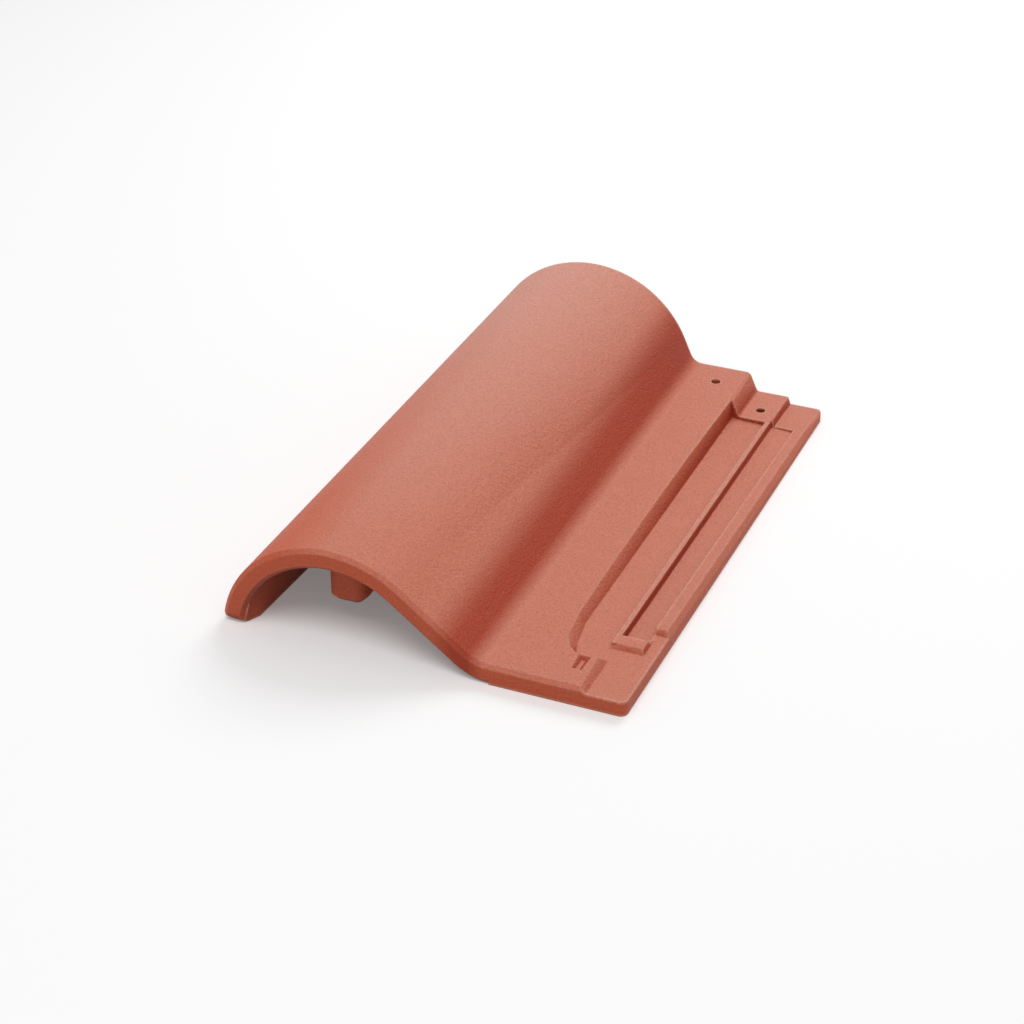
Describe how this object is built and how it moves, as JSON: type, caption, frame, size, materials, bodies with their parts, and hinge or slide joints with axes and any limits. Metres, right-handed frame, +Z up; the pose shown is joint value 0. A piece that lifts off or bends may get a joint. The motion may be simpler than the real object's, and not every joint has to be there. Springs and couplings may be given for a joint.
{
  "type": "interlocking roll and pan roof tile",
  "caption": "Interlocking clay roof tile with a half-round roll, a flat pan, a stepped side lock with water channels and nail holes at its head.",
  "frame": {"origin": "middle of the tile's footprint, on the floor that it lies on", "axes": "+Z up, +Y along the tile from the eave end to the head end, +X across it from the roll to the side lock"},
  "size_m": [0.2832, 0.42, 0.095],
  "materials": {
    "clay": "matte unglazed fired clay with a fine grain"
  },
  "bodies": {
    "root": {"tile": "clay"}
  },
  "joints": []
}
